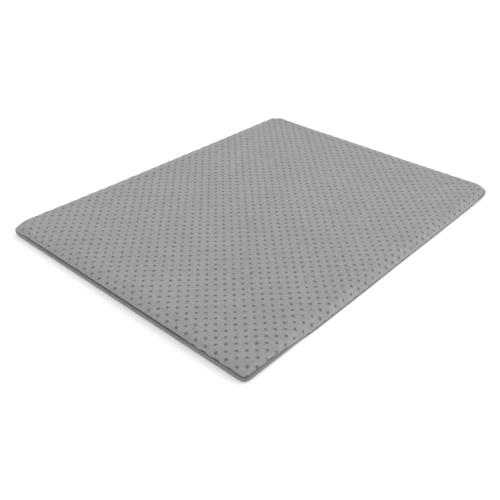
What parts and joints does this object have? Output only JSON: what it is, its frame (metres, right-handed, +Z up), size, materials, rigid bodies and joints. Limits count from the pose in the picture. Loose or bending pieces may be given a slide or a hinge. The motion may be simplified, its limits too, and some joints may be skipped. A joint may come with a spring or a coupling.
{
  "type": "kneeling pad",
  "caption": "Thin rectangular foam kneeling pad in a dotted fabric cover with rounded edges, a seam all round and a concealed zip in one short side.",
  "frame": {"origin": "under the middle of the pad, on the surface that it lies on", "axes": "+X along the pad's length, away from the zip side; +Y across it, the way the zip opens; +Z up, through the pad's thickness"},
  "size_m": [0.4, 0.305, 0.013],
  "materials": {
    "top_fabric": "matte",
    "bottom_fabric": "matte",
    "foam": "matte",
    "tape": "matte",
    "nylon": "satin",
    "thread": "matte",
    "slider_metal": "satin",
    "spring_steel": "satin"
  },
  "bodies": {
    "pad": {"top_panel": "top_fabric", "bottom_panel": "bottom_fabric", "foam_core": "foam", "zip_tape_upper": "tape", "zip_tape_lower": "tape", "zip_coil_upper": "nylon", "zip_coil_lower": "nylon", "zip_stop_front_upper": "nylon", "zip_stop_front_lower": "nylon", "zip_stop_back": "nylon", "bar_tack_front": "thread", "bar_tack_back": "thread"},
    "slider": {"slider_body": "slider_metal", "slider_crown": "slider_metal", "slider_lock_spring": "spring_steel"}
  },
  "joints": [
    {"name": "slider_travel", "type": "slide", "parent": "pad", "child": "slider", "axis": [0, 1, 0], "range_m": [0, 0.212], "deforming": ["zip_coil_upper", "zip_coil_lower"]}
  ]
}
